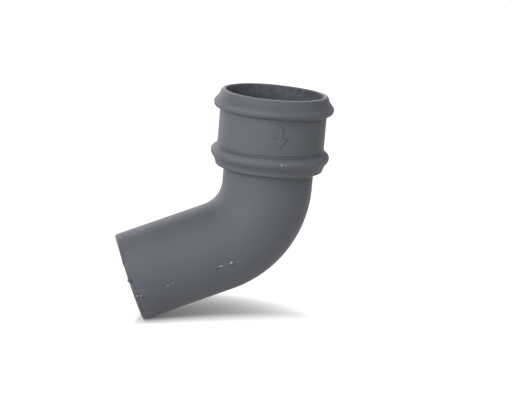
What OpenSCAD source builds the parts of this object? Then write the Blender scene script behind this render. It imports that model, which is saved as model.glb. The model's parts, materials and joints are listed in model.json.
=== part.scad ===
// Downpipe bend for a round rainwater pipe, sand cast in one piece of grey iron.
// A socket with two moulded beads takes the pipe above, and a plain spigot runs on down at a
// slant into the socket below.
// The origin is the centre of the socket's mouth. +Z runs up out of the socket, and the
// waterway turns towards -X in the plane of X and Z.

/* [Pipe] */
// Bore of the waterway
bore_d = 75; // [50:1:90]
// Thickness of the barrel's wall
barrel_wall = 4; // [3:0.25:7]

/* [Bend] */
// Angle that the waterway turns through: 67.5 leaves 112.5 degrees between the legs
turn = 67.5; // [15:0.5:90]
// Radius of the bend's centreline
bend_r = 65.5; // [56:0.5:200]
// Straight neck from the socket's foot to the start of the bend
neck_l = 16.5; // [8:0.5:100]
// Straight spigot from the end of the bend to its rim
spigot_l = 89; // [50:1:300]
// Rounding of the spigot's rim
spigot_round = 1.2; // [0.2:0.1:1.6]

/* [Socket] */
// Gap that the joint leaves all round a spigot of the same barrel
joint_gap = 3; // [1.5:0.25:8]
// Thickness of the socket's wall
socket_wall = 4.5; // [3:0.25:8]
// Depth from the mouth to the seat that the upper pipe stands on
socket_depth = 65; // [50:1:120]
// Thickness of the foot below the seat
foot_t = 5.5; // [4:0.5:12]
// Rounding of the mouth's rim on the outside
rim_round = 2.8; // [0.5:0.1:3]
// Rounding of the mouth's rim on the bore
rim_inner_round = 1.4; // [0.4:0.1:2]
// Rounding in the corner of the seat and on the waterway's edge
seat_round = 2; // [0.5:0.25:3]
// Rounding of the foot's outer edge
foot_round = 2; // [0.5:0.1:2.5]
// Fillet from the foot in to the neck
neck_fillet = 4.5; // [1:0.25:7]

/* [Mouth bead] */
// Drop from the mouth to the bead's crest
mouth_bead_drop = 13; // [9:0.25:18]
// How far the crest stands out from the socket's wall
mouth_bead_proud = 6.1; // [4:0.1:8]
// Radius of the bead's nose
mouth_nose_r = 4.8; // [2:0.1:5.8]
// Fillet below the bead
mouth_fillet = 1.6; // [1:0.1:4]
// Height over the mouth at which the lip's sweep would stand upright
lip_lead = 1.6; // [0:0.1:4]

/* [Foot bead] */
// Height of the bead's crest above the seat
foot_bead_up = 7.5; // [5:0.25:12]
// How far the crest stands out from the socket's wall
foot_bead_proud = 5.5; // [4:0.1:8]
// Radius of the bead's nose, above the crest
foot_nose_r = 4.8; // [2:0.1:5.3]
// Radius of the bead's belly, below the crest
belly_r = 6.8; // [4:0.1:9]
// How far the foot stands out from the socket's wall
foot_proud = 0.4; // [0:0.1:1.5]
// Drop below the foot at which the hollow under the belly would stand upright
hollow_lead = 1; // [0:0.1:4]
// Fillet above the bead
foot_bead_fillet = 1.2; // [0.5:0.1:3]
// Height of the narrow fillet ring above the bead
ring_h = 2.5; // [2:0.1:6]
// How far that ring stands out from the socket's wall
ring_proud = 0.25; // [0.1:0.05:0.9]

/* [Flow arrow] */
// Height of the arrow on the socket
arrow_h = 18; // [8:0.5:22]
// Width over its head
arrow_w = 12; // [8:0.5:20]
// Length of its head
arrow_head = 8; // [3:0.5:8]
// Width of its shaft
arrow_shaft = 3; // [1.5:0.25:6]
// How far it stands out from the socket's wall
arrow_proud = 0.9; // [0.3:0.1:2]

/* [Hidden] */
$fn = 144;

bore_r = bore_d / 2;
barrel_r = bore_r + barrel_wall;
socket_r = barrel_r + joint_gap;
wall_r = socket_r + socket_wall;

seat_z = -socket_depth;
foot_z = seat_z - foot_t;
bend_z = foot_z - neck_l;

// No rounding takes more than its share of the wall that it is on
half_share = 0.45;
outer_share = 0.63;
inner_share = 0.32;
rim_r = min(rim_round, outer_share * socket_wall);
rim_inner_r = min(rim_inner_round, inner_share * socket_wall);
spigot_rim_r = min(spigot_round, half_share * barrel_wall);
seat_r = min(seat_round, half_share * (socket_r - bore_r));

// The lip sweeps out in a hollow arc that meets the nose of the mouth bead
mouth_crest_r = wall_r + mouth_bead_proud;
mouth_crest_z = -mouth_bead_drop;
lip_rise = mouth_bead_drop + lip_lead;
lip_sweep_r = (pow(mouth_bead_proud - mouth_nose_r, 2) + lip_rise * lip_rise - mouth_nose_r * mouth_nose_r)
    / (2 * mouth_bead_proud);
lip_sweep_x = wall_r + lip_sweep_r;
lip_end_a = asin(lip_rise / (lip_sweep_r + mouth_nose_r));
lip_start_a = asin((lip_lead + rim_r) / (lip_sweep_r + rim_r));
rim_outer_x = lip_sweep_x - (lip_sweep_r + rim_r) * cos(lip_start_a);

// The foot bead's belly runs into a hollow arc that ends at the foot's edge
foot_crest_r = wall_r + foot_bead_proud;
foot_crest_z = seat_z + foot_bead_up;
foot_r = wall_r + foot_proud;
ogee_drop = foot_crest_z - foot_z + hollow_lead;
ogee_in = foot_crest_r - foot_r;
ogee_sum = (ogee_in * ogee_in + ogee_drop * ogee_drop) / (2 * ogee_in);
hollow_r = ogee_sum - belly_r;
hollow_x = foot_r + hollow_r;
hollow_z = foot_z - hollow_lead;
hollow_start_a = asin(ogee_drop / ogee_sum);
hollow_end_a = asin((hollow_lead + foot_round) / (hollow_r + foot_round));
foot_edge_x = hollow_x - (hollow_r + foot_round) * cos(hollow_end_a);
neck_fillet_r = min(neck_fillet, foot_edge_x - barrel_r, neck_l);

// Sweep and height of a nose and a fillet that lead from a crest back to the wall
function flank_a(proud, nose, fillet) = acos(max(0, 1 - proud / (nose + fillet)));
function flank_h(proud, nose, fillet) = (nose + fillet) * sin(flank_a(proud, nose, fillet));

mouth_flank_a = flank_a(mouth_bead_proud, mouth_nose_r, mouth_fillet);
band_top_z = mouth_crest_z - flank_h(mouth_bead_proud, mouth_nose_r, mouth_fillet);
foot_flank_a = flank_a(foot_bead_proud, foot_nose_r, foot_bead_fillet);
ring_bottom_z = foot_crest_z + flank_h(foot_bead_proud, foot_nose_r, foot_bead_fillet);
ring_top_z = ring_bottom_z + ring_h;

// The elbow's wall is this much thinner on each face than the walls that it joins, and its ends
// sink into them by a small part of a turn
seam = 0.05;
sink_a = 0.5;

// Points along an arc from angle a0 to angle a1, no more than arc_step degrees apart
arc_step = 9;
function arc(x, z, r, a0, a1) =
    let (n = max(2, ceil(abs(a1 - a0) / arc_step)))
    [for (i = [0 : n]) let (a = a0 + (a1 - a0) * i / n) [x + r * cos(a), z + r * sin(a)]];

// Half section of the socket and neck: down the outside, then up the bore
function socket_section() = concat(
    arc(rim_outer_x, -rim_r, rim_r, 90, lip_start_a),
    arc(lip_sweep_x, lip_lead, lip_sweep_r, 180 + lip_start_a, 180 + lip_end_a),
    arc(mouth_crest_r - mouth_nose_r, mouth_crest_z, mouth_nose_r, lip_end_a, -mouth_flank_a),
    arc(wall_r + mouth_fillet, band_top_z, mouth_fillet, 180 - mouth_flank_a, 180),
    [
        [wall_r, ring_top_z],
        [wall_r + ring_proud, ring_top_z - ring_proud],
        [wall_r + ring_proud, ring_bottom_z + ring_proud],
    ],
    arc(wall_r + foot_bead_fillet, ring_bottom_z, foot_bead_fillet, 180, 180 + foot_flank_a),
    arc(foot_crest_r - foot_nose_r, foot_crest_z, foot_nose_r, foot_flank_a, 0),
    arc(foot_crest_r - belly_r, foot_crest_z, belly_r, 0, -hollow_start_a),
    arc(hollow_x, hollow_z, hollow_r, 180 - hollow_start_a, 180 - hollow_end_a),
    arc(foot_edge_x, foot_z + foot_round, foot_round, -hollow_end_a, -90),
    arc(barrel_r + neck_fillet_r, foot_z - neck_fillet_r, neck_fillet_r, 90, 180),
    [[barrel_r, bend_z], [bore_r, bend_z]],
    arc(bore_r + seat_r, seat_z - seat_r, seat_r, 180, 90),
    arc(socket_r - seat_r, seat_z + seat_r, seat_r, -90, 0),
    arc(socket_r + rim_inner_r, -rim_inner_r, rim_inner_r, 180, 90)
);

// Half section of the spigot's wall, which ends in a rounded rim
function spigot_section() = concat(
    [[bore_r, spigot_l], [barrel_r, spigot_l]],
    arc(barrel_r - spigot_rim_r, spigot_rim_r, spigot_rim_r, 0, -90),
    arc(bore_r + spigot_rim_r, spigot_rim_r, spigot_rim_r, -90, -180)
);

module socket() rotate_extrude() polygon(socket_section());

// The elbow turns about an axis along Y, and its ends sink into the walls of the neck and spigot
module elbow()
    translate([-bend_r, 0, bend_z]) rotate([-90, 0, 0]) rotate([0, 0, -sink_a])
        rotate_extrude(angle = turn + 2 * sink_a) translate([bend_r, 0]) difference() {
            circle(barrel_r - seam);
            circle(bore_r + seam);
        }

// The spigot starts where the elbow's turn ends
module spigot()
    translate([-bend_r, 0, bend_z]) rotate([0, turn, 0]) translate([bend_r, 0, -spigot_l])
        rotate_extrude() polygon(spigot_section());

// Raised arrow that shows which way the water runs, on the socket's front between the beads
module flow_arrow() {
    shaft_end = arrow_head - arrow_h / 2;
    outline = [
        [-arrow_shaft / 2, arrow_h / 2],
        [-arrow_shaft / 2, shaft_end],
        [-arrow_w / 2, shaft_end],
        [0, -arrow_h / 2],
        [arrow_w / 2, shaft_end],
        [arrow_shaft / 2, shaft_end],
        [arrow_shaft / 2, arrow_h / 2],
    ];
    arrow_z = (band_top_z + ring_top_z) / 2;
    intersection() {
        translate([0, -wall_r + socket_wall / 2, arrow_z]) rotate([90, 0, 0])
            linear_extrude(socket_wall + arrow_proud) polygon(outline);
        translate([0, 0, arrow_z - arrow_h]) cylinder(r = wall_r + arrow_proud, h = 2 * arrow_h);
    }
}

// The whole casting, in dark grey primer
module bend_casting() color([0.41, 0.42, 0.45]) {
    socket();
    elbow();
    spigot();
    flow_arrow();
}

bend_casting();
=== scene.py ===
import json
import math

import bpy
import numpy as np
from mathutils import Matrix, Vector


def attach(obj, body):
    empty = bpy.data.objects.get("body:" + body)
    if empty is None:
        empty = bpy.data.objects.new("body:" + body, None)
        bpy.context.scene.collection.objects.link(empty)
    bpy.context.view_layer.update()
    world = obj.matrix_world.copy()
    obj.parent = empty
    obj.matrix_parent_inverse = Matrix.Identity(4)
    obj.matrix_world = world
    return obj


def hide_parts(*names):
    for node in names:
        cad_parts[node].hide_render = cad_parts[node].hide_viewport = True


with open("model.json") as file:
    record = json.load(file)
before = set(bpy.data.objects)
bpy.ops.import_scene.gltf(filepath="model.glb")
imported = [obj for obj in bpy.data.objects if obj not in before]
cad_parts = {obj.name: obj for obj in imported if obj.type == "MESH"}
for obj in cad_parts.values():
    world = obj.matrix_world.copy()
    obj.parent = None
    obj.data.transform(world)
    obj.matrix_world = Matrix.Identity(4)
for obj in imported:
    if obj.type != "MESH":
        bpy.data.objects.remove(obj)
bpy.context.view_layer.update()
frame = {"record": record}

# The bend: one piece of grey iron, cast in a sand mould round a sand core.
# A socket with two moulded beads and a raised arrow stands above, a curved waterway leads
# through, and a plain spigot slants down to its sawn and fettled end.
mounts = {m["name"]: m for m in frame["record"]["mounts"]}
MM = 0.001

barrel_r = mounts["spigot"]["dims"]["r_mm"]
socket_r = mounts["socket"]["dims"]["r_mm"]
wall_r = mounts["clip_band"]["dims"]["r_mm"]
seat_z = mounts["seat"]["pos_m"][2] / MM
spigot_axis = mounts["spigot"]["axis"]
bore_r = barrel_r - 4.0

turn = math.atan2(-spigot_axis[0], -spigot_axis[2])
bend_r = 65.5
foot_z = seat_z - 5.5
bend_z = foot_z - 16.5
bend_l = bend_r * turn
spigot_l = 89.0
end_s = -bend_z + bend_l + spigot_l

rim_r, rim_inner_r, seat_round, spigot_round = 2.8, 1.4, 2.0, 1.2

mouth_crest_r, mouth_crest_z = wall_r + 6.1, -13.0
mouth_nose_r, mouth_fillet, lip_lead = 4.8, 1.6, 1.6

foot_crest_r, foot_crest_z = wall_r + 5.5, seat_z + 7.5
foot_nose_r, belly_r, foot_bead_fillet = 4.8, 6.8, 1.2
foot_r, hollow_lead, foot_round, neck_fillet = wall_r + 0.4, 1.0, 2.0, 4.5
ring_h, ring_proud = 2.5, 0.25


def arc(x, z, radius, start, end, step=0.7):
    """Points (x + radius cos a, z + radius sin a), where a runs evenly from start to end in radians."""
    count = max(4, math.ceil(abs(end - start) * radius / step) + 1)
    a = np.linspace(start, end, count)
    return np.stack([x + radius * np.cos(a), z + radius * np.sin(a)], axis=1)


def straight(x0, z0, x1, z1, step):
    """Points on the line from (x0, z0) to (x1, z1), both ends left out, no more than step apart."""
    count = max(1, math.ceil(math.hypot(x1 - x0, z1 - z0) / step))
    t = np.arange(1, count)[:, None] / count
    return np.array([[x0, z0]]) * (1 - t) + np.array([[x1, z1]]) * t


def flank(proud, nose, fillet):
    """Angle that a nose sweeps, and height to the wall, where a nose and a fillet that touch each
    other lead from a crest back to the wall: cos(angle) = 1 - proud / (nose + fillet)."""
    angle = math.acos(1 - proud / (nose + fillet))
    return angle, (nose + fillet) * math.sin(angle)


lip_rise = lip_lead - mouth_crest_z
lip_proud = mouth_crest_r - wall_r
lip_r = ((lip_proud - mouth_nose_r) ** 2 + lip_rise ** 2 - mouth_nose_r ** 2) / (2 * lip_proud)
lip_x = wall_r + lip_r
lip_end = math.asin(lip_rise / (lip_r + mouth_nose_r))
lip_start = math.asin((lip_lead + rim_r) / (lip_r + rim_r))
rim_x = lip_x - (lip_r + rim_r) * math.cos(lip_start)
mouth_flank, mouth_flank_h = flank(lip_proud, mouth_nose_r, mouth_fillet)
band_top_z = mouth_crest_z - mouth_flank_h

foot_flank, foot_flank_h = flank(foot_crest_r - wall_r, foot_nose_r, foot_bead_fillet)
ring_bottom_z = foot_crest_z + foot_flank_h
ring_top_z = ring_bottom_z + ring_h
ogee_drop = foot_crest_z - foot_z + hollow_lead
ogee_in = foot_crest_r - foot_r
ogee_sum = (ogee_in ** 2 + ogee_drop ** 2) / (2 * ogee_in)
hollow_r = ogee_sum - belly_r
hollow_x, hollow_z = foot_r + hollow_r, foot_z - hollow_lead
hollow_start = math.asin(ogee_drop / ogee_sum)
hollow_end = math.asin((hollow_lead + foot_round) / (hollow_r + foot_round))
foot_edge_x = hollow_x - (hollow_r + foot_round) * math.cos(hollow_end)
neck_r = min(neck_fillet, foot_edge_x - barrel_r)

arrow_h, arrow_w, arrow_head, arrow_shaft, arrow_proud = 18.0, 12.0, 8.0, 3.0, 0.9
arrow_z = (band_top_z + ring_top_z) / 2
arrow_top, arrow_tip = arrow_z + arrow_h / 2 + 1.0, arrow_z - arrow_h / 2 - 1.0
quarter, half = math.pi / 2, math.pi


def half_section():
    """Closed outline of the wall as (radius, height down the centreline): down the outside from
    the rim, round the spigot's end and up the bore. Bends are arcs, and the rest straight runs."""
    end_z = -end_s
    return np.concatenate([
        arc(rim_x, -rim_r, rim_r, quarter, lip_start, 0.5),
        arc(lip_x, lip_lead, lip_r, half + lip_start, half + lip_end)[1:],
        arc(mouth_crest_r - mouth_nose_r, mouth_crest_z, mouth_nose_r, lip_end, -mouth_flank, 0.5)[1:],
        arc(wall_r + mouth_fillet, band_top_z, mouth_fillet, half - mouth_flank, half, 0.6)[1:],
        straight(wall_r, band_top_z, wall_r, arrow_top, 1.4),
        [[wall_r, arrow_top]],
        straight(wall_r, arrow_top, wall_r, arrow_tip, 0.42),
        [[wall_r, arrow_tip]],
        straight(wall_r, arrow_tip, wall_r, ring_top_z, 1.4),
        [[wall_r, ring_top_z]],
        [[wall_r + ring_proud, ring_top_z - ring_proud]],
        straight(wall_r + ring_proud, ring_top_z, wall_r + ring_proud, ring_bottom_z, 1.2),
        [[wall_r + ring_proud, ring_bottom_z + ring_proud]],
        arc(wall_r + foot_bead_fillet, ring_bottom_z, foot_bead_fillet, half, half + foot_flank, 0.35),
        arc(foot_crest_r - foot_nose_r, foot_crest_z, foot_nose_r, foot_flank, 0, 0.5)[1:],
        arc(foot_crest_r - belly_r, foot_crest_z, belly_r, 0, -hollow_start, 0.6)[1:],
        arc(hollow_x, hollow_z, hollow_r, half - hollow_start, half - hollow_end, 0.6)[1:],
        arc(foot_edge_x, foot_z + foot_round, foot_round, -hollow_end, -quarter, 0.4)[1:],
        arc(barrel_r + neck_r, foot_z - neck_r, neck_r, quarter, half, 0.6),
        straight(barrel_r, foot_z - neck_r, barrel_r, end_z + 10, 2.0),
        [[barrel_r, end_z + 10]],
        straight(barrel_r, end_z + 10, barrel_r, end_z + spigot_round, 0.5),
        arc(barrel_r - spigot_round, end_z + spigot_round, spigot_round, 0, -quarter, 0.35),
        arc(bore_r + spigot_round, end_z + spigot_round, spigot_round, -quarter, -half, 0.35),
        straight(bore_r, end_z + spigot_round, bore_r, end_z + 12, 1.5),
        [[bore_r, end_z + 12]],
        straight(bore_r, end_z + 12, bore_r, seat_z - seat_round, 4.0),
        arc(bore_r + seat_round, seat_z - seat_round, seat_round, half, quarter, 0.7),
        arc(socket_r - seat_round, seat_z + seat_round, seat_round, -quarter, 0, 0.7),
        straight(socket_r, seat_z + seat_round, socket_r, -rim_inner_r, 3.0),
        arc(socket_r + rim_inner_r, -rim_inner_r, rim_inner_r, half, quarter, 0.4),
    ])


def relief(section, outside):
    """How far each point of the socket's outside stands over the skin round it, from -0.5 in a hollow
    to 1 on a crest: its radius less a bell-weighted average of the radii near it, in units of 0.6 mm."""
    outer = section[outside & (section[:, 1] > bend_z)]
    outer = outer[np.argsort(outer[:, 1])]
    step, width, reach = 0.25, 3.0, 60
    z = np.arange(bend_z, 0, step)
    radii = np.pad(np.interp(z, outer[:, 1], outer[:, 0]), reach, mode="edge")
    bell = np.exp(-0.5 * (np.arange(-reach, reach + 1) * step / width) ** 2)
    proud = radii[reach:-reach] - np.convolve(radii, bell / bell.sum(), "valid")
    return np.where(outside, np.clip(np.interp(section[:, 1], z, proud) / 0.6, -0.5, 1), 0)


def frame_along(s):
    """Centre and outward side of the ring at each distance s down the centreline: straight down to
    the bend, then round a circle of radius bend_r, then straight on at the turn's full angle."""
    t = np.clip((s + bend_z) / bend_r, 0, turn)
    lead = np.minimum(s, -bend_z)
    rest = np.maximum(s + bend_z - bend_l, 0)
    centre = np.stack([
        bend_r * (np.cos(t) - 1) - rest * math.sin(turn),
        np.zeros_like(s),
        -lead - bend_r * np.sin(t) - rest * math.cos(turn),
    ], axis=-1)
    side = np.stack([np.cos(t), np.zeros_like(s), -np.sin(t)], axis=-1)
    return centre, side


def lumps(s, angle, length, count, seed):
    """Smooth random heights from 0 to 1 over (s, angle): random values on a lattice of that length
    along s and that count round the pipe, blended between the four nearest by 3t^2 - 2t^3."""
    rows = math.ceil((s.max() - s.min()) / length) + 2
    lattice = np.random.default_rng(seed).random((rows, count))
    u = (s - s.min()) / length
    v = (angle / (2 * math.pi) % 1) * count
    i, j = np.floor(u).astype(int), np.floor(v).astype(int) % count
    fu, fv = u - np.floor(u), v - np.floor(v)
    fu, fv = fu * fu * (3 - 2 * fu), fv * fv * (3 - 2 * fv)
    k = (j + 1) % count
    low = lattice[i, j] * (1 - fv) + lattice[i, k] * fv
    high = lattice[i + 1, j] * (1 - fv) + lattice[i + 1, k] * fv
    return low * (1 - fu) + high * fu


def arrow_relief(x, z):
    """Height of the raised arrow over the wall at (x, z), and the painted shade in the corner round it: the
    distance in from its outline, taken as the nearest of its edges, is raised by 3t^2 - 2t^3 over
    the width of its drafted side, and given painted shade by a bell curve just outside it."""
    shaft_end = arrow_head - arrow_h / 2
    outline = np.array([
        [-arrow_shaft / 2, arrow_h / 2],
        [-arrow_shaft / 2, shaft_end],
        [-arrow_w / 2, shaft_end],
        [0, -arrow_h / 2],
        [arrow_w / 2, shaft_end],
        [arrow_shaft / 2, shaft_end],
        [arrow_shaft / 2, arrow_h / 2],
    ])
    draft = 0.5
    p = np.stack([x, z], axis=-1)
    nearest = np.full(x.shape, np.inf)
    inside = np.zeros(x.shape, bool)
    for a, b in zip(outline, np.roll(outline, -1, axis=0)):
        edge = b - a
        t = np.clip(((p - a) @ edge) / (edge @ edge), 0, 1)
        nearest = np.minimum(nearest, np.linalg.norm(p - a - t[..., None] * edge, axis=-1))
        spans = (a[1] > z) != (b[1] > z)
        slope = (b[0] - a[0]) / (b[1] - a[1]) if b[1] != a[1] else 0.0
        inside ^= spans & (x < a[0] + slope * (z - a[1]))
    depth = np.where(inside, nearest, -nearest) + draft / 3
    t = np.clip(depth / draft, 0, 1)
    return arrow_proud * t * t * (3 - 2 * t), np.exp(-(((depth + 0.3) / 0.45) ** 2))


def columns():
    """Angles round the pipe, close together where the arrow is and wider apart elsewhere."""
    face, reach = -quarter, math.radians(9)
    near = np.linspace(face - reach, face + reach, 46)
    far = np.linspace(face + reach, face - reach + 2 * math.pi, 218)[1:-1]
    return np.concatenate([near, far])


def worn_end(s, angle):
    """How far the spigot's end stands back or out at each angle, how far its last few millimetres
    are ground down, and how dark they are: bell curves exp(-(gap / width)^2) and lumps, summed."""
    def bell(centre, width):
        gap = (angle - math.radians(centre) + half) % (2 * half) - half
        return np.exp(-((gap / math.radians(width)) ** 2))

    back = 0.9 + 1.0 * bell(180, 22) + 0.2 * bell(180, 60) - 0.7 * bell(-85, 42) - 0.5 * bell(-127, 4)
    back = back - 1.2 * bell(-102.5, 2.2)
    back = back + 0.16 * lumps(0 * s, angle, 1.0, 61, 5) + 0.14 * lumps(0 * s, angle, 1.0, 157, 6)
    edge = 4.6 + 0.9 * lumps(0 * s, angle, 1.0, 37, 7)
    strip = np.clip((s - end_s + edge) / 0.9, 0, 1) * (0.15 + 0.85 * bell(-95, 55))
    pits = lumps(s, angle, 1.1, 181, 8) * lumps(s, angle, 2.3, 83, 9)
    corner = 0.8 * np.clip((s - end_s + 3.0) / 3.0, 0, 1) ** 2
    smut = strip * (4.4 * lumps(s, angle, 1.3, 139, 12) - 1.4)
    smut = smut + 2.2 * bell(-100.5, 2.6) * np.exp(-(((s - end_s + 1.8) / 1.8) ** 2))
    return back, strip * (0.2 + 0.55 * pits * bell(-95, 40)) + corner, smut


def bend_mesh():
    """The whole casting as one closed grid: the half section carried round every angle, and along
    the centreline by frame_along. Lumps, the arrow, a low place in the rim and the worn end move
    points off the section."""
    section = half_section()
    angles = columns()
    r, s = section[:, 0], -section[:, 1]
    tangent = np.roll(section, -1, axis=0) - np.roll(section, 1, axis=0)
    tangent /= np.linalg.norm(tangent, axis=1)[:, None]
    out_r, out_s = -tangent[:, 1], -tangent[:, 0]

    s_grid, angle = np.meshgrid(s, angles, indexing="ij")
    outside = (out_r > 0.2)[:, None] & np.ones_like(angle, bool)
    inside = np.clip((out_r < -0.5)[:, None] & np.ones_like(angle, bool), 0, 1)
    on_band = outside & (-s_grid < band_top_z + 0.1) & (-s_grid > ring_top_z - 0.1)
    around = (angle + quarter + half) % (2 * half) - half
    arrow, corner = arrow_relief(around * wall_r, -s_grid - arrow_z)
    lift = np.where(on_band, arrow, 0.0)
    lift -= 0.12 * lumps(s_grid, angle, 31.0, 9, 3) + 0.06 * lumps(s_grid, angle, 9.0, 29, 4)
    lift -= inside * 0.25 * lumps(s_grid, angle, 6.0, 47, 10)

    back, ground, smut = worn_end(s_grid, angle)
    to_end = np.clip((s_grid - end_s + 12) / 12, 0, 1) ** 2
    lift -= np.where(outside, ground, 0.0)
    moved_r = r[:, None] + lift * out_r[:, None]
    sag = 0.45 + 0.7 * np.exp(-(((angle - math.radians(52)) / math.radians(38)) ** 2))
    moved_s = s_grid + lift * out_s[:, None] - back * to_end + sag * np.clip(1 - s_grid / 16, 0, 1) ** 2

    centre, side = frame_along(moved_s)
    across = np.array([0.0, 1.0, 0.0])
    spoke = np.cos(angle)[..., None] * side + np.sin(angle)[..., None] * across
    points = (centre + moved_r[..., None] * spoke) * MM

    rows, cols = s_grid.shape
    i, j = np.meshgrid(np.arange(rows), np.arange(cols), indexing="ij")
    next_i, next_j = (i + 1) % rows, (j + 1) % cols
    quads = np.stack([i * cols + j, next_i * cols + j, next_i * cols + next_j, i * cols + next_j], axis=-1)
    mesh = bpy.data.meshes.new("bend")
    mesh.from_pydata(points.reshape(-1, 3), [], quads.reshape(-1, 4))
    mesh.shade_smooth()

    # Rim paleness: the primer rubbed thin on the top edge, with a painted highlight that is strongest on one side.
    rim = np.clip(1 - np.maximum(s_grid - 0.2, 0) / 0.8, 0, 1) * (0.65 + 0.35 * np.cos(angle + 1.2))
    # Painted shade on the socket's outer faces that turn downward, under the beads.
    underside_shade = np.where((out_r > 0.05) & (s < -bend_z), np.clip(1.6 * out_s, 0, 1), 0)
    # Pale: a painted highlight on the crests and painted shade in the hollows, from relief, and painted shade under
    # the beads, with the smut of the sawn end taken off.
    pale = (0.6 * relief(section, out_r > 0.05) - 1.3 * underside_shade)[:, None] - np.where(outside, smut, 0)
    # Painted shade in the bore: darker all over and towards one side, with random mottling, and darker still on one
    # side near the mouth.
    pale += inside * (1.4 * lumps(s_grid, angle, 3.5, 67, 11) - 0.7 - 1.2 * np.cos(angle))
    pale -= inside * 1.7 * np.exp(-((s_grid / 6) ** 2)) * np.clip(np.cos(angle - 0.8), 0, 1)
    # Painted shade in the corner round the raised arrow.
    pale -= np.where(on_band, 1.8 * corner, 0)
    rust = np.clip((s_grid - end_s + 1.0) / 0.4, 0, 1)
    for name, value in (("rim", rim), ("pale", pale), ("bore", inside), ("rust", rust)):
        mesh.attributes.new(name, "FLOAT", "POINT").data.foreach_set("value", value.ravel().astype(np.float32))
    return mesh


bend = bpy.data.objects.new("bend", bend_mesh())
bpy.context.scene.collection.objects.link(bend)


def node(tree, kind, inputs=(), **settings):
    """A new node with those settings. Each input, by its place or name, is a value or an output."""
    made = tree.nodes.new(kind)
    for name, value in settings.items():
        setattr(made, name, value)
    for key, value in inputs.items() if isinstance(inputs, dict) else enumerate(inputs):
        if isinstance(value, bpy.types.NodeSocket):
            tree.links.new(value, made.inputs[key])
        else:
            made.inputs[key].default_value = value
    return made


def chip_group():
    """Node group for one pale chip: 1 inside an ellipsoid round Centre, Length long by Width wide
    with its long side along Run, and 0 outside it, with an edge made ragged by noise."""
    tree = bpy.data.node_groups.new("primer_chip", "ShaderNodeTree")
    for name in ("Point", "Centre", "Run"):
        tree.interface.new_socket(name, in_out="INPUT", socket_type="NodeSocketVector")
    for name in ("Length", "Width"):
        tree.interface.new_socket(name, in_out="INPUT", socket_type="NodeSocketFloat")
    tree.interface.new_socket("Mask", in_out="OUTPUT", socket_type="NodeSocketFloat")
    given = tree.nodes.new("NodeGroupInput").outputs
    gap = node(tree, "ShaderNodeVectorMath", [given["Point"], given["Centre"]], operation="SUBTRACT").outputs[0]
    far = node(tree, "ShaderNodeVectorMath", [gap, gap], operation="DOT_PRODUCT").outputs["Value"]
    run = node(tree, "ShaderNodeVectorMath", [gap, given["Run"]], operation="DOT_PRODUCT").outputs["Value"]
    run = node(tree, "ShaderNodeMath", [run, run], operation="MULTIPLY").outputs[0]
    side = node(tree, "ShaderNodeMath", [far, run], operation="SUBTRACT").outputs[0]
    long = node(tree, "ShaderNodeMath", [given["Length"], given["Length"]], operation="MULTIPLY").outputs[0]
    wide = node(tree, "ShaderNodeMath", [given["Width"], given["Width"]], operation="MULTIPLY").outputs[0]
    run = node(tree, "ShaderNodeMath", [run, long], operation="DIVIDE").outputs[0]
    side = node(tree, "ShaderNodeMath", [side, wide], operation="DIVIDE").outputs[0]
    reach = node(tree, "ShaderNodeMath", [run, side], operation="ADD").outputs[0]
    ragged = node(tree, "ShaderNodeTexNoise", {"Vector": given["Point"], "Scale": 1500.0, "Detail": 2.0})
    edge = node(tree, "ShaderNodeMath", [ragged.outputs[0], 2.4, -1.75], operation="MULTIPLY_ADD").outputs[0]
    reach = node(tree, "ShaderNodeMath", [reach, edge], operation="ADD").outputs[0]
    mask = node(tree, "ShaderNodeMapRange", [reach, 0.05, 0.45, 1.0, 0.0], interpolation_type="SMOOTHSTEP")
    tree.links.new(mask.outputs[0], tree.nodes.new("NodeGroupOutput").inputs["Mask"])
    return tree


# Chips and scuffs in the primer: distance down the pipe, angle round it in degrees, half its
# length and half its width in millimetres, and how pale it is
chips = [
    (160.4, -80.4, 1.5, 1.1, 0.75),
    (169.8, -80.7, 2.1, 0.8, 0.60),
    (165.0, -80.2, 4.6, 0.6, 0.16),
    (154.6, -77.6, 2.4, 1.0, 0.10),
    (221.0, -79.5, 2.2, 0.8, 0.24),
    (215.8, -80.5, 1.5, 1.0, 0.22),
    (250.0, -79.8, 1.1, 1.3, 0.50),
    (246.6, -78.5, 1.5, 0.8, 0.28),
    (57.4, -88.0, 1.0, 1.1, 0.55),
    (55.4, -86.0, 0.8, 1.0, 0.16),
    (57.6, -83.6, 1.0, 1.0, 0.18),
    (55.6, -82.0, 0.8, 0.8, 0.16),
    (234.0, -170.0, 2.0, 1.6, 0.12),
    (226.2, -170.6, 2.8, 1.6, 0.14),
]
# Dark pits beside them, given in the same way, with how dark each is
pits = [
    (159.4, -76.0, 1.2, 1.0, 0.35),
    (162.6, -82.8, 1.2, 0.9, 0.40),
    (172.8, -78.1, 2.0, 0.9, 0.45),
    (164.6, -79.2, 1.2, 0.7, 0.35),
    (223.8, -81.0, 1.6, 0.9, 0.35),
    (216.2, -83.1, 1.4, 0.9, 0.30),
    (212.6, -78.0, 1.3, 1.0, 0.35),
    (250.6, -82.7, 1.5, 1.1, 0.35),
    (245.4, -75.4, 1.5, 1.1, 0.35),
    (251.6, -74.0, 1.4, 1.4, 0.30),
    (58.6, -90.4, 0.9, 1.1, 0.30),
]


def on_skin(s, angle, radius):
    """The point at that distance, angle and radius of the pipe, and the way that the pipe runs there."""
    centre, side = frame_along(np.array(float(s)))
    spoke = math.cos(angle) * side + math.sin(angle) * np.array([0.0, 1.0, 0.0])
    return Vector((centre + radius * spoke) * MM), Vector(np.cross([0.0, 1.0, 0.0], side)) * -1


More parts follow.
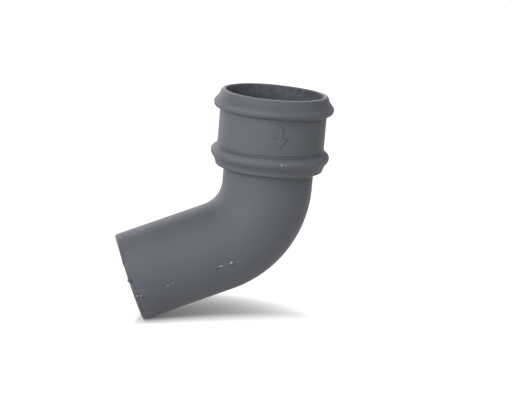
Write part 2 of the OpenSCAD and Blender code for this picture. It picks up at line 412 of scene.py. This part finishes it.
def chip_mask(tree, group, point, places):
    """How strong the strongest of the chips at those places is, at each point of the skin."""
    mask = 0.0
    for s, degrees, length, width, strength in places:
        radius = foot_crest_r if -ring_bottom_z < s < -foot_z else barrel_r
        centre, run = on_skin(s, math.radians(degrees), radius)
        chip = tree.nodes.new("ShaderNodeGroup")
        chip.node_tree = group
        tree.links.new(point, chip.inputs["Point"])
        chip.inputs["Centre"].default_value = centre
        chip.inputs["Run"].default_value = run
        chip.inputs["Length"].default_value = length * MM
        chip.inputs["Width"].default_value = width * MM
        faint = node(tree, "ShaderNodeMath", [chip.outputs["Mask"], strength], operation="MULTIPLY").outputs[0]
        mask = node(tree, "ShaderNodeMath", [mask, faint], operation="MAXIMUM").outputs[0]
    return mask


def primer_material():
    """Matt dark grey primer: two greys mixed by broad and fine noise and by painted shade and highlight,
    paler on the rims, where it is rubbed thin and a highlight is painted, and where it is chipped, over a skin with
    the fine grain that the sand left."""
    material = bpy.data.materials.new("matt_grey_primer")
    material.use_nodes = True
    tree = material.node_tree
    shader = tree.nodes["Principled BSDF"]
    point = tree.nodes.new("ShaderNodeTexCoord").outputs["Object"]
    patches = node(tree, "ShaderNodeTexNoise", {"Vector": point, "Scale": 24.0, "Detail": 3.0}).outputs[0]
    grain = node(tree, "ShaderNodeTexNoise", {"Vector": point, "Scale": 420.0, "Detail": 4.0}).outputs[0]
    # The pale attribute holds painted shade and painted highlight from the mesh, besides the real smut at the sawn
    # end.
    pale = node(tree, "ShaderNodeAttribute", attribute_name="pale").outputs["Fac"]
    tone = node(tree, "ShaderNodeMath", [patches, 0.25, 0.285], operation="MULTIPLY_ADD").outputs[0]
    tone = node(tree, "ShaderNodeMath", [grain, 0.18, tone], operation="MULTIPLY_ADD").outputs[0]
    tone = node(tree, "ShaderNodeMath", [pale, 0.2, tone], operation="MULTIPLY_ADD").outputs[0]
    bore = node(tree, "ShaderNodeAttribute", attribute_name="bore").outputs["Fac"]
    speckle = node(tree, "ShaderNodeTexNoise", {"Vector": point, "Scale": 300.0, "Detail": 2.0}).outputs[0]
    speckle = node(tree, "ShaderNodeMapRange", [speckle, 0.35, 0.65, -0.17, 0.17]).outputs[0]
    tone = node(tree, "ShaderNodeMath", [speckle, bore, tone], operation="MULTIPLY_ADD").outputs[0]
    colour = node(tree, "ShaderNodeMix", data_type="RGBA")
    colour.inputs["A"].default_value = (0.082, 0.087, 0.104, 1)
    colour.inputs["B"].default_value = (0.190, 0.201, 0.236, 1)
    tree.links.new(tone, colour.inputs["Factor"])

    # The rim is paler where the primer is rubbed thin, and with a painted highlight that is stronger on one side.
    rim = node(tree, "ShaderNodeAttribute", attribute_name="rim").outputs["Fac"]
    rim = node(tree, "ShaderNodeMath", [rim, 0.95], operation="MULTIPLY").outputs[0]
    worn = node(tree, "ShaderNodeMix", data_type="RGBA")
    worn.inputs["B"].default_value = (0.30, 0.30, 0.31, 1)
    tree.links.new(rim, worn.inputs["Factor"])
    tree.links.new(colour.outputs["Result"], worn.inputs["A"])

    group = chip_group()
    skin = worn.outputs["Result"]
    for places, shade in ((pits, (0.03, 0.03, 0.035, 1)), (chips, (0.62, 0.63, 0.68, 1))):
        marked = node(tree, "ShaderNodeMix", data_type="RGBA")
        marked.inputs["B"].default_value = shade
        tree.links.new(chip_mask(tree, group, point, places), marked.inputs["Factor"])
        tree.links.new(skin, marked.inputs["A"])
        skin = marked.outputs["Result"]
    film = node(tree, "ShaderNodeTexNoise", {"Vector": point, "Scale": 130.0, "Detail": 5.0}).outputs[0]
    film = node(tree, "ShaderNodeMapRange", [film, 0.40, 0.58, 0.35, 0.95]).outputs[0]
    cut_end = node(tree, "ShaderNodeAttribute", attribute_name="rust").outputs["Fac"]
    rusty = node(tree, "ShaderNodeMix", data_type="RGBA")
    rusty.inputs["B"].default_value = (0.29, 0.19, 0.115, 1)
    tree.links.new(node(tree, "ShaderNodeMath", [film, cut_end], operation="MULTIPLY").outputs[0], rusty.inputs["Factor"])
    tree.links.new(skin, rusty.inputs["A"])
    tree.links.new(rusty.outputs["Result"], shader.inputs["Base Color"])

    rough = node(tree, "ShaderNodeMapRange", [grain, 0.3, 0.7, 0.58, 0.72]).outputs[0]
    tree.links.new(rough, shader.inputs["Roughness"])
    shader.inputs["Specular IOR Level"].default_value = 0.3
    sand = node(tree, "ShaderNodeTexNoise", {"Vector": point, "Scale": 900.0, "Detail": 3.0, "Roughness": 0.6}).outputs[0]
    bump = node(tree, "ShaderNodeBump", {"Strength": 0.5, "Distance": 0.00012, "Height": sand})
    tree.links.new(bump.outputs[0], shader.inputs["Normal"])
    return material


bend.data.materials.append(primer_material())
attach(bend, "root")
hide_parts("bend_casting")

# The floor: a wide plain white sheet beneath the lowest lip of the spigot.
# It shows as white, with a painted soft shadow: its white is held back where the bend is close above it, to the right
# of and behind the lip.
floor_half = 12.0
floor_z = min(vertex.co.z for vertex in bend.data.vertices)
lip, _ = on_skin(end_s, 0.0, barrel_r)
floor_mesh = bpy.data.meshes.new("floor")
floor_mesh.from_pydata(
    [(x * floor_half, y * floor_half, floor_z) for x, y in ((-1, -1), (1, -1), (1, 1), (-1, 1))],
    [],
    [(0, 1, 2, 3)],
)
floor = bpy.data.objects.new("floor", floor_mesh)
bpy.context.scene.collection.objects.link(floor)


def painted_shadow_edge(tree, across, along, least, spread):
    """How lit the floor is at a distance across from an edge of its painted shadow: 1 at the edge and out of
    it, falling evenly to 0 over a width that starts as least and grows by spread times along."""
    grown = node(tree, "ShaderNodeMath", [along, 0.0], operation="MAXIMUM").outputs[0]
    width = node(tree, "ShaderNodeMath", [grown, spread, least], operation="MULTIPLY_ADD").outputs[0]
    depth = node(tree, "ShaderNodeMath", [across, width], operation="DIVIDE").outputs[0]
    return node(tree, "ShaderNodeMapRange", [depth, 0.0, 1.0, 1.0, 0.0]).outputs[0]


def white_material():
    """White sheet, lifted to full white where the camera or a reflection sees it, with a painted shadow: the lift is
    held back where the bend is close above, but not left of the lip or in front, where the main light falls."""
    material = bpy.data.materials.new("white_sheet")
    material.use_nodes = True
    tree = material.node_tree
    shader = tree.nodes["Principled BSDF"]
    shader.inputs["Roughness"].default_value = 0.9
    shader.inputs["Specular IOR Level"].default_value = 0.1
    path = tree.nodes.new("ShaderNodeLightPath").outputs
    # Camera rays see a dark sheet, so that its white comes from the lift and the painted shadow shows; other rays see
    # the off-white paint.
    paint = node(tree, "ShaderNodeMix", data_type="RGBA")
    paint.inputs["A"].default_value = (0.80, 0.79, 0.75, 1)
    paint.inputs["B"].default_value = (0.14, 0.14, 0.14, 1)
    tree.links.new(path["Is Camera Ray"], paint.inputs["Factor"])
    tree.links.new(paint.outputs["Result"], shader.inputs["Base Color"])
    # The painted shadow: nearness of the bend counted only toward the main light, then cut off left of the lip and in
    # front of it.
    to_light = node(tree, "ShaderNodeCombineXYZ", [-0.66, -0.68, 0.32])
    near = node(tree, "ShaderNodeAmbientOcclusion", {"Distance": 0.08, "Normal": to_light.outputs[0]})
    open_sky = node(tree, "ShaderNodeMath", [near.outputs["AO"], 3.0], operation="POWER")
    point = tree.nodes.new("ShaderNodeTexCoord").outputs["Object"]
    from_lip = node(tree, "ShaderNodeVectorMath", [point, lip], operation="SUBTRACT").outputs[0]
    right = node(tree, "ShaderNodeVectorMath", [from_lip, (1.0, -0.2, 0.0)], operation="DOT_PRODUCT").outputs["Value"]
    back = node(tree, "ShaderNodeVectorMath", [from_lip, (-0.22, 1.0, 0.0)], operation="DOT_PRODUCT").outputs["Value"]
    right = node(tree, "ShaderNodeMath", [right, 0.006], operation="ADD").outputs[0]
    back = node(tree, "ShaderNodeMath", [back, 0.025], operation="ADD").outputs[0]
    left = painted_shadow_edge(tree, right, back, 0.002, 0.35)
    front = painted_shadow_edge(tree, back, right, 0.020, 0.23)
    lit = node(tree, "ShaderNodeMath", [left, front], operation="MAXIMUM")
    lit = node(tree, "ShaderNodeMath", [lit.outputs[0], open_sky.outputs[0]], operation="MAXIMUM")
    mirrored = node(tree, "ShaderNodeMath", [path["Is Glossy Ray"], open_sky.outputs[0]], operation="MULTIPLY")
    lift = node(tree, "ShaderNodeMath", [path["Is Camera Ray"], lit.outputs[0], mirrored.outputs[0]],
                operation="MULTIPLY_ADD")
    shader.inputs["Emission Color"].default_value = (1, 1, 1, 1)
    tree.links.new(lift.outputs[0], shader.inputs["Emission Strength"])
    return material


floor_mesh.materials.append(white_material())

# The light: a white room, one large soft lamp in front to the left and above, and softer ones
# behind that light the rim and the edges.
world = bpy.data.worlds.new("room")
bpy.context.scene.world = world
world.use_nodes = True
tree = world.node_tree
path = tree.nodes.new("ShaderNodeLightPath").outputs
seen = node(tree, "ShaderNodeMath", [path["Is Camera Ray"], path["Is Glossy Ray"]], operation="MAXIMUM")
strength = node(tree, "ShaderNodeMapRange", [seen.outputs[0], 0.0, 1.0, 0.02, 1.0])
tree.nodes["Background"].inputs["Color"].default_value = (1, 1, 1, 1)
tree.links.new(strength.outputs[0], tree.nodes["Background"].inputs["Strength"])


def soft_lamp(name, place, size, watts, colour):
    """A square lamp at that place in metres that faces the middle of the bend."""
    data = bpy.data.lights.new(name, "AREA")
    data.size = size
    data.energy = watts
    data.color = colour
    lamp = bpy.data.objects.new(name, data)
    middle = Vector((-0.04, 0.0, -0.11))
    lamp.location = place
    lamp.rotation_euler = (middle - lamp.location).to_track_quat("-Z", "Y").to_euler()
    bpy.context.scene.collection.objects.link(lamp)


cool, warm = (0.93, 0.93, 1.0), (1.0, 0.98, 0.96)
soft_lamp("front_left_lamp", (-1.40, -1.88, 0.51), 0.8, 28, cool)
soft_lamp("high_left_lamp", (-1.24, -1.20, 1.59), 0.8, 10, warm)
soft_lamp("left_lamp", (-2.35, -0.20, 0.51), 0.8, 9, warm)
soft_lamp("right_lamp", (1.43, -0.85, 1.59), 0.8, 11, warm)
soft_lamp("left_back_lamp", (-1.20, 2.04, 0.40), 0.8, 15, warm)
soft_lamp("back_lamp", (-0.04, 2.16, 0.88), 0.8, 17, warm)

# The camera: a long lens in front of the bend and a little above it, turned a little to the
# right. It leans over with the bend, which stands tilted on its lip.
camera_place = (-0.28455, -1.59722, 0.25586)
camera_yaw, camera_pitch, camera_roll = 0.1709, 0.2191, 0.0857
image_w, focal_px = 512, 1800
camera_data = bpy.data.cameras.new("camera")
camera_data.sensor_width = 36
camera_data.lens = focal_px * camera_data.sensor_width / image_w
camera = bpy.data.objects.new("camera", camera_data)
camera.matrix_world = (
    Matrix.Translation(camera_place)
    @ Matrix.Rotation(-camera_yaw, 4, "Z")
    @ Matrix.Rotation(math.pi / 2 - camera_pitch, 4, "X")
    @ Matrix.Rotation(camera_roll, 4, "Z")
)
bpy.context.scene.collection.objects.link(camera)
bpy.context.scene.camera = camera
bpy.context.scene.view_settings.view_transform = "Standard"
